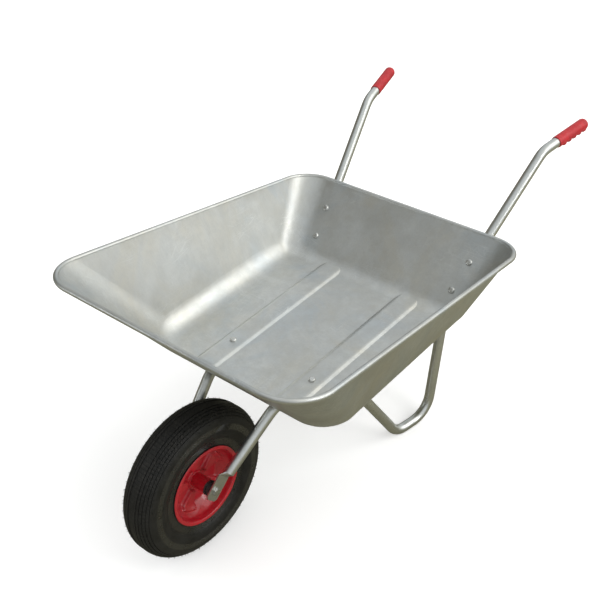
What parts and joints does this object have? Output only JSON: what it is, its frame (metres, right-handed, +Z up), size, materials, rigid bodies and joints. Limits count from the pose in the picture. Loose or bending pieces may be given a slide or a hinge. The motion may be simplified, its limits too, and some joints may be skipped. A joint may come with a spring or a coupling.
{
  "type": "wheelbarrow",
  "caption": "Pressed steel tray bolted on two bent tubes that form fork, legs and handles, with one pneumatic wheel that spins freely.",
  "frame": {"origin": "middle of the overall length and width, on the ground", "axes": "+Z up, -Y towards the wheel, +Y towards the handles, +X to the user's left"},
  "size_m": [0.74, 1.3556, 0.614],
  "materials": {
    "tray_steel": "galvanised, satin",
    "tube_steel": "zinc plated, satin",
    "zinc": "zinc plated",
    "grip_red": "satin",
    "tyre_rubber": "satin",
    "tube_rubber": "matt",
    "stem_rubber": "matt",
    "cap_black": "satin",
    "rim_red": "gloss",
    "black_plastic": "satin"
  },
  "bodies": {
    "frame": {"tray": "tray_steel", "frame_tube_left": "tube_steel", "frame_tube_right": "tube_steel", "grip_left": "grip_red", "grip_right": "grip_red", "floor_bolts": "zinc", "floor_washers": "zinc", "floor_nuts": "zinc", "wall_bolts": "zinc", "wall_washers": "zinc", "wall_nuts": "zinc", "axle_bolt": "zinc", "axle_washer": "zinc", "axle_nut": "zinc", "collar_left": "black_plastic", "collar_right": "black_plastic"},
    "wheel": {"tyre": "tyre_rubber", "inner_tube": "tube_rubber", "valve_stem": "stem_rubber", "valve_cap": "cap_black", "rim_half_left": "rim_red", "rim_half_right": "rim_red", "hub_tube": "rim_red", "bush_left": "black_plastic", "bush_right": "black_plastic"}
  },
  "joints": [
    {"name": "wheel_spin", "type": "hinge", "parent": "frame", "child": "wheel", "pos_m": [0, -0.49281, 0.185], "axis": [1, 0, 0], "continuous": true}
  ]
}
